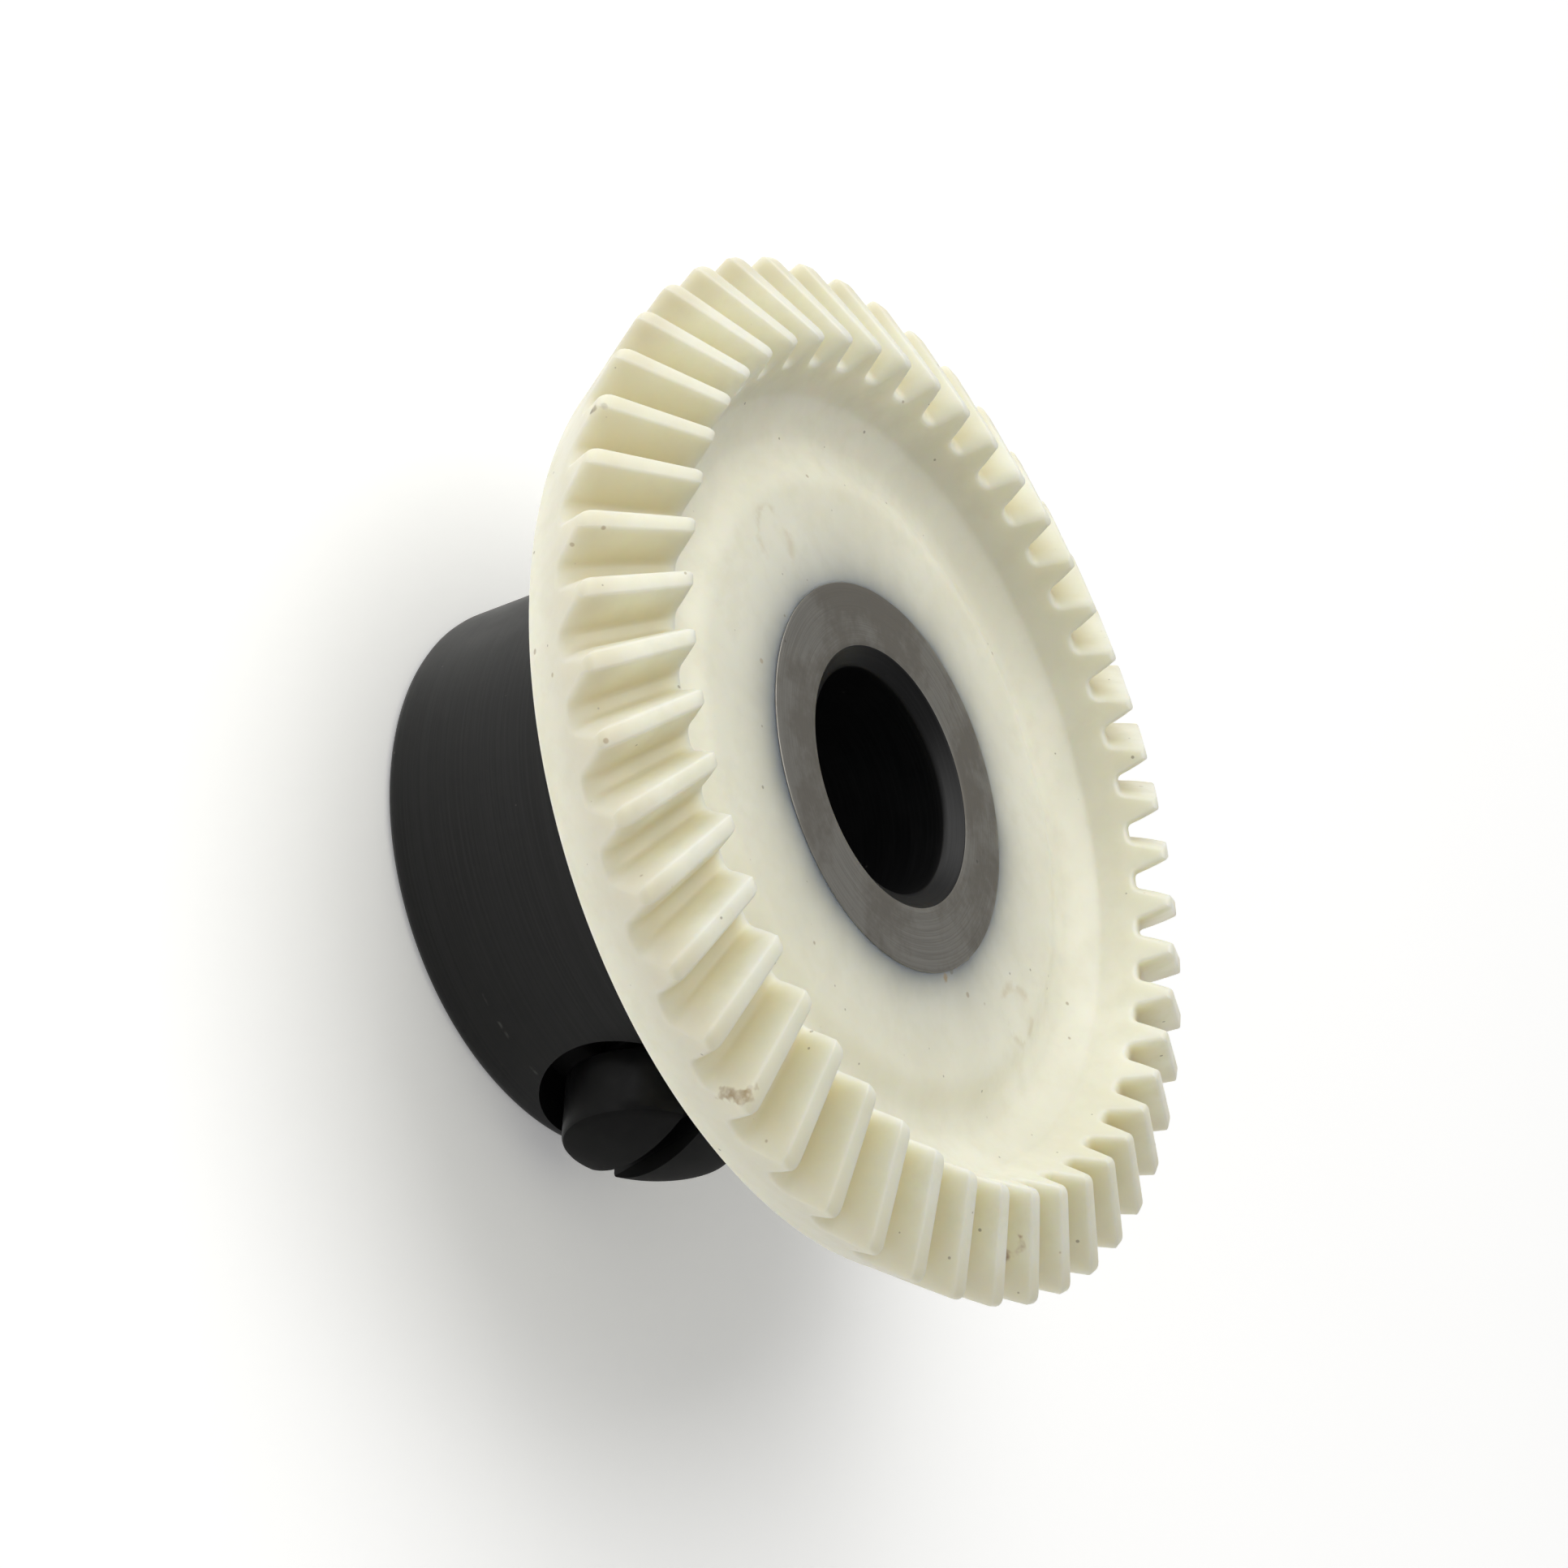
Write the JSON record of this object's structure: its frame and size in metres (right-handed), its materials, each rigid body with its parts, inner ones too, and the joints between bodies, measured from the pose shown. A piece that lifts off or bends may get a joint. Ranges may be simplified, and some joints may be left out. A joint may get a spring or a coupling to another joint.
{
  "type": "bevel gear",
  "caption": "Bevel gear with skewed straight teeth moulded on a turned steel hub, clamped to its shaft by headed slotted set screws.",
  "frame": {"origin": "centre of the hub's back face, on the bore's axis", "axes": "+Z along the bore towards the toothed side, +X along the first set screw, +Y along the second set screw"},
  "size_m": [0.0366, 0.0366, 0.0165],
  "materials": {
    "moulding": "ivory moulded engineering plastic, satin",
    "hub_steel": "black-oxide turned steel, bright machined end face",
    "screw_steel": "black-oxide steel, satin"
  },
  "bodies": {
    "gear": {"bevel_gear": "moulding", "hub": "hub_steel"},
    "screw_1": {"set_screw_1": "screw_steel"},
    "screw_2": {"set_screw_2": "screw_steel"}
  },
  "joints": [
    {"name": "set_screw_1_travel", "type": "slide", "parent": "gear", "child": "screw_1", "axis": [1, 0, 0], "range_m": [-0.0011, 0.0032]},
    {"name": "set_screw_2_travel", "type": "slide", "parent": "gear", "child": "screw_2", "axis": [0, 1, 0], "range_m": [-0.0011, 0.0032]}
  ]
}
